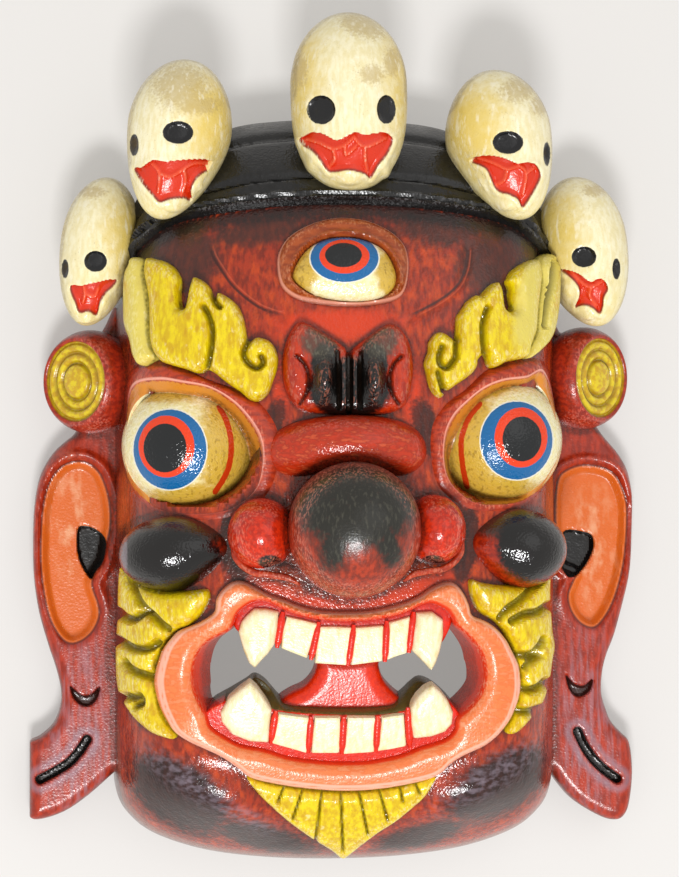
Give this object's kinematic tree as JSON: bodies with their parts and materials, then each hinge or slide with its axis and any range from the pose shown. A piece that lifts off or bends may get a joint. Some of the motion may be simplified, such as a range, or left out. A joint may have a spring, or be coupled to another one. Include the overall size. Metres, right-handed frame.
{
  "type": "carved wooden mask",
  "caption": "Carved and painted wooden wall mask of a wrathful fanged face with a third eye, long ears and a crown of skulls, hollow behind.",
  "frame": {"origin": "under the middle of the mask's whole outline, in the plane of its back rim", "axes": "+X across the face, +Y from the chin to the crown, +Z out of the face; the mask lies on its back rim"},
  "size_m": [0.24, 0.3304, 0.1159],
  "materials": {
    "red_lacquer": "red and black lacquer paint over carved wood, semi-gloss, with a dark antique wash in the crevices",
    "bone_paint": "cream paint over carved wood with a yellow wash and rubbed brown patches, satin",
    "yellow_paint": "yellow paint over carved wood with olive shading in the grooves, satin",
    "black_lacquer": "black lacquer paint over carved wood, semi-gloss"
  },
  "bodies": {
    "root": {"mask": "red_lacquer"}
  },
  "joints": []
}
